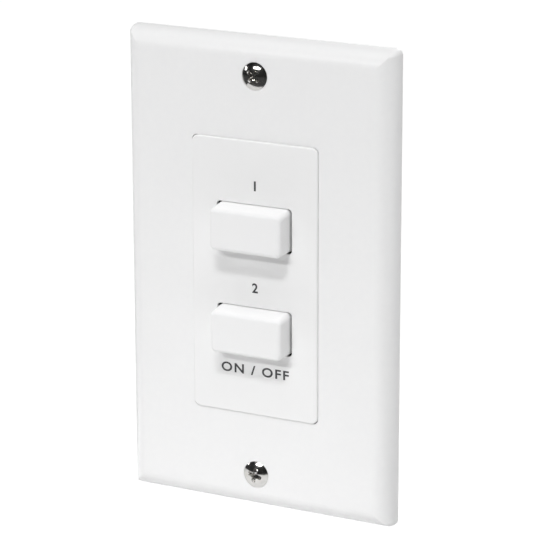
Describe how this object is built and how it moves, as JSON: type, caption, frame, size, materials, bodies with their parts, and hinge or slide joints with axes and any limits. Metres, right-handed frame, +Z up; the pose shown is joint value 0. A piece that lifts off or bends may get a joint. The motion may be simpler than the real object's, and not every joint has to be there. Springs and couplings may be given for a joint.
{
  "type": "speaker selector switch",
  "caption": "Single-gang wall plate with a rectangular insert and latching push buttons that connect pairs of speakers; screw terminals behind.",
  "frame": {"origin": "middle of the wall plate and of the box-screw pattern, on the wall surface (rear face of the strap and of the plate's rim)", "axes": "+X right as seen from the room, +Y into the wall, +Z up; the buttons face -Y and press along +Y"},
  "size_m": [0.0698, 0.0386, 0.1142],
  "materials": {
    "white_plate_plastic": "smooth satin-gloss white thermoplastic",
    "white_insert_plastic": "fine satin white moulding",
    "white_button_plastic": "smooth satin white moulding",
    "nickel_plate": "polished nickel plate",
    "zinc_steel": "zinc-plated pressed steel",
    "zinc_screw": "bright zinc plate",
    "board_laminate": "green solder mask on glass laminate",
    "black_switch_plastic": "black glass-filled nylon",
    "pale_slider_plastic": "natural acetal",
    "spring_steel": "bright spring wire",
    "clip_steel": "bright sheet spring steel",
    "contact_bronze": "phosphor bronze strip",
    "tinned_brass": "tin-plated brass",
    "green_terminal_plastic": "moulded green nylon"
  },
  "bodies": {
    "wall_unit": {"wall_plate": "white_plate_plastic", "plate_screws": "nickel_plate", "mounting_strap": "zinc_steel", "insert_bezel": "white_insert_plastic", "strap_screws": "zinc_screw", "circuit_board": "board_laminate", "board_screws": "zinc_screw", "upper_button_guide": "black_switch_plastic", "upper_switch_housing": "black_switch_plastic", "upper_return_spring": "spring_steel", "upper_latch_clip": "clip_steel", "upper_switch_base": "black_switch_plastic", "upper_fixed_contacts": "tinned_brass", "lower_button_guide": "black_switch_plastic", "lower_switch_housing": "black_switch_plastic", "lower_return_spring": "spring_steel", "lower_latch_clip": "clip_steel", "lower_switch_base": "black_switch_plastic", "lower_fixed_contacts": "tinned_brass", "input_terminal_block": "green_terminal_plastic", "input_wire_clamps": "tinned_brass", "input_clamp_screws": "zinc_screw", "input_terminal_pins": "tinned_brass", "first_pair_terminal_block": "green_terminal_plastic", "first_pair_wire_clamps": "tinned_brass", "first_pair_clamp_screws": "zinc_screw", "first_pair_terminal_pins": "tinned_brass", "second_pair_terminal_block": "green_terminal_plastic", "second_pair_wire_clamps": "tinned_brass", "second_pair_clamp_screws": "zinc_screw", "second_pair_terminal_pins": "tinned_brass"},
    "upper_button": {"upper_button_cap": "white_button_plastic", "upper_switch_slider": "pale_slider_plastic", "upper_moving_contacts": "contact_bronze"},
    "upper_latch": {"upper_latch_pin": "spring_steel"},
    "lower_button": {"lower_button_cap": "white_button_plastic", "lower_switch_slider": "pale_slider_plastic", "lower_moving_contacts": "contact_bronze"},
    "lower_latch": {"lower_latch_pin": "spring_steel"}
  },
  "joints": [
    {"name": "upper_button_press", "type": "slide", "parent": "wall_unit", "child": "upper_button", "axis": [0, 1, 0], "range_m": [0, 0.0035], "stiffness_N_per_m": 300, "springref_m": -0.005, "deforming": ["upper_return_spring"]},
    {"name": "upper_latch_swing", "type": "hinge", "parent": "wall_unit", "child": "upper_latch", "pos_m": [0, 0.00295, 0.01277], "axis": [1, 0, 0], "range_deg": [0, 9.1]},
    {"name": "lower_button_press", "type": "slide", "parent": "wall_unit", "child": "lower_button", "axis": [0, 1, 0], "range_m": [0, 0.0035], "stiffness_N_per_m": 300, "springref_m": -0.005, "deforming": ["lower_return_spring"]},
    {"name": "lower_latch_swing", "type": "hinge", "parent": "wall_unit", "child": "lower_latch", "pos_m": [0, 0.00295, -0.01208], "axis": [1, 0, 0], "range_deg": [0, 9.1]}
  ],
  "couplings": [
    {"joint": "upper_latch_swing", "follows": "upper_button_press", "rad_per_m": 45.085},
    {"joint": "lower_latch_swing", "follows": "lower_button_press", "rad_per_m": 45.085}
  ]
}
